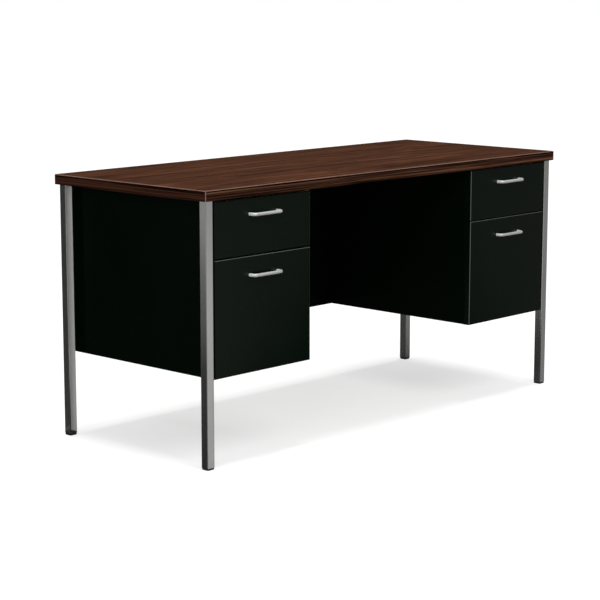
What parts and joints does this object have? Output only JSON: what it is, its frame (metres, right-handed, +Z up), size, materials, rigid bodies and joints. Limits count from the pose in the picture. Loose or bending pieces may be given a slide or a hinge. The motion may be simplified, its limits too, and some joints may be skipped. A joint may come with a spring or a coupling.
{
  "type": "pedestal desk",
  "caption": "Steel pedestal desk with a dark woodgrain laminate top on square chrome legs; box and file drawers slide out of a pedestal on each side of the knee space.",
  "frame": {"origin": "on the floor under the middle of the whole desk, pulls included", "axes": "+X to the right seen from the front, +Y from the drawer fronts to the back, +Z up"},
  "size_m": [1.524, 0.6242, 0.7493],
  "materials": {
    "woodgrain_laminate": "satin dark woodgrain laminate",
    "particleboard": "raw particleboard",
    "chrome_leg": "bright chrome plate",
    "satin_pull": "satin nickel",
    "black_enamel": "semi-gloss black enamel",
    "black_tray": "satin black enamel",
    "zinc_slide": "zinc plated",
    "zinc_screw": "zinc plated",
    "white_nylon": "moulded nylon",
    "black_plastic": "moulded polyethylene"
  },
  "bodies": {
    "frame": {"top_core": "particleboard", "top_laminate": "woodgrain_laminate", "top_edge_band": "woodgrain_laminate", "top_screws": "zinc_screw", "leg_front_left": "chrome_leg", "leg_front_right": "chrome_leg", "leg_back_left": "chrome_leg", "leg_back_right": "chrome_leg", "foot_glides": "black_plastic", "leg_bolts": "zinc_screw", "modesty_panel": "black_enamel", "modesty_screws": "zinc_screw", "left_end_panel": "black_enamel", "right_end_panel": "black_enamel", "left_kneehole_panel": "black_enamel", "right_kneehole_panel": "black_enamel", "left_back_panel": "black_enamel", "right_back_panel": "black_enamel", "left_bottom_pan": "black_enamel", "right_bottom_pan": "black_enamel", "left_top_rails": "black_enamel", "right_top_rails": "black_enamel", "left_file_cabinet_rails": "zinc_slide", "right_file_cabinet_rails": "zinc_slide", "left_box_cabinet_rails": "zinc_slide", "right_box_cabinet_rails": "zinc_slide"},
    "left_box_drawer": {"left_box_drawer_front": "black_enamel", "left_box_inner_front": "black_tray", "left_box_tray_bottom": "black_tray", "left_box_tray_sides": "black_tray", "left_box_pull": "satin_pull", "left_box_pull_screws": "zinc_screw", "left_box_drawer_rails": "zinc_slide"},
    "left_file_drawer": {"left_file_drawer_front": "black_enamel", "left_file_inner_front": "black_tray", "left_file_tray_bottom": "black_tray", "left_file_tray_sides": "black_tray", "left_file_pull": "satin_pull", "left_file_pull_screws": "zinc_screw", "left_file_drawer_rails": "zinc_slide"},
    "left_file_middle_slide": {"left_file_middle_rails": "zinc_slide"},
    "left_box_front_rollers": {"left_box_front_rollers": "white_nylon"},
    "left_box_rear_rollers": {"left_box_rear_rollers": "white_nylon"},
    "right_box_drawer": {"right_box_drawer_front": "black_enamel", "right_box_inner_front": "black_tray", "right_box_tray_bottom": "black_tray", "right_box_tray_sides": "black_tray", "right_box_pull": "satin_pull", "right_box_pull_screws": "zinc_screw", "right_box_drawer_rails": "zinc_slide"},
    "right_file_drawer": {"right_file_drawer_front": "black_enamel", "right_file_inner_front": "black_tray", "right_file_tray_bottom": "black_tray", "right_file_tray_sides": "black_tray", "right_file_pull": "satin_pull", "right_file_pull_screws": "zinc_screw", "right_file_drawer_rails": "zinc_slide"},
    "right_file_middle_slide": {"right_file_middle_rails": "zinc_slide"},
    "right_box_front_rollers": {"right_box_front_rollers": "white_nylon"},
    "right_box_rear_rollers": {"right_box_rear_rollers": "white_nylon"}
  },
  "joints": [
    {"name": "left_box_drawer_slide", "type": "slide", "parent": "frame", "child": "left_box_drawer", "axis": [0, -1, 0], "range_m": [0, 0.38]},
    {"name": "left_file_drawer_slide", "type": "slide", "parent": "frame", "child": "left_file_drawer", "axis": [0, -1, 0], "range_m": [0, 0.48]},
    {"name": "left_file_middle_slide_travel", "type": "slide", "parent": "frame", "child": "left_file_middle_slide", "axis": [0, -1, 0], "range_m": [0, 0.24]},
    {"name": "left_box_front_rollers_spin", "type": "hinge", "parent": "frame", "child": "left_box_front_rollers", "pos_m": [-0.54135, -0.24405, 0.5905], "axis": [1, 0, 0], "range_deg": [0, 2084]},
    {"name": "left_box_rear_rollers_spin", "type": "hinge", "parent": "left_box_drawer", "child": "left_box_rear_rollers", "pos_m": [-0.54135, 0.18795, 0.5905], "axis": [1, 0, 0], "range_deg": [0, 2732]},
    {"name": "right_box_drawer_slide", "type": "slide", "parent": "frame", "child": "right_box_drawer", "axis": [0, -1, 0], "range_m": [0, 0.38]},
    {"name": "right_file_drawer_slide", "type": "slide", "parent": "frame", "child": "right_file_drawer", "axis": [0, -1, 0], "range_m": [0, 0.48]},
    {"name": "right_file_middle_slide_travel", "type": "slide", "parent": "frame", "child": "right_file_middle_slide", "axis": [0, -1, 0], "range_m": [0, 0.24]},
    {"name": "right_box_front_rollers_spin", "type": "hinge", "parent": "frame", "child": "right_box_front_rollers", "pos_m": [0.54135, -0.24405, 0.5905], "axis": [1, 0, 0], "range_deg": [0, 2084]},
    {"name": "right_box_rear_rollers_spin", "type": "hinge", "parent": "right_box_drawer", "child": "right_box_rear_rollers", "pos_m": [0.54135, 0.18795, 0.5905], "axis": [1, 0, 0], "range_deg": [0, 2732]}
  ],
  "couplings": [
    {"joint": "left_file_middle_slide_travel", "follows": "left_file_drawer_slide", "ratio": 0.5},
    {"joint": "left_box_front_rollers_spin", "follows": "left_box_drawer_slide", "rad_per_m": 95.238},
    {"joint": "left_box_rear_rollers_spin", "follows": "left_box_drawer_slide", "rad_per_m": 125},
    {"joint": "right_file_middle_slide_travel", "follows": "right_file_drawer_slide", "ratio": 0.5},
    {"joint": "right_box_front_rollers_spin", "follows": "right_box_drawer_slide", "rad_per_m": 95.238},
    {"joint": "right_box_rear_rollers_spin", "follows": "right_box_drawer_slide", "rad_per_m": 125}
  ]
}
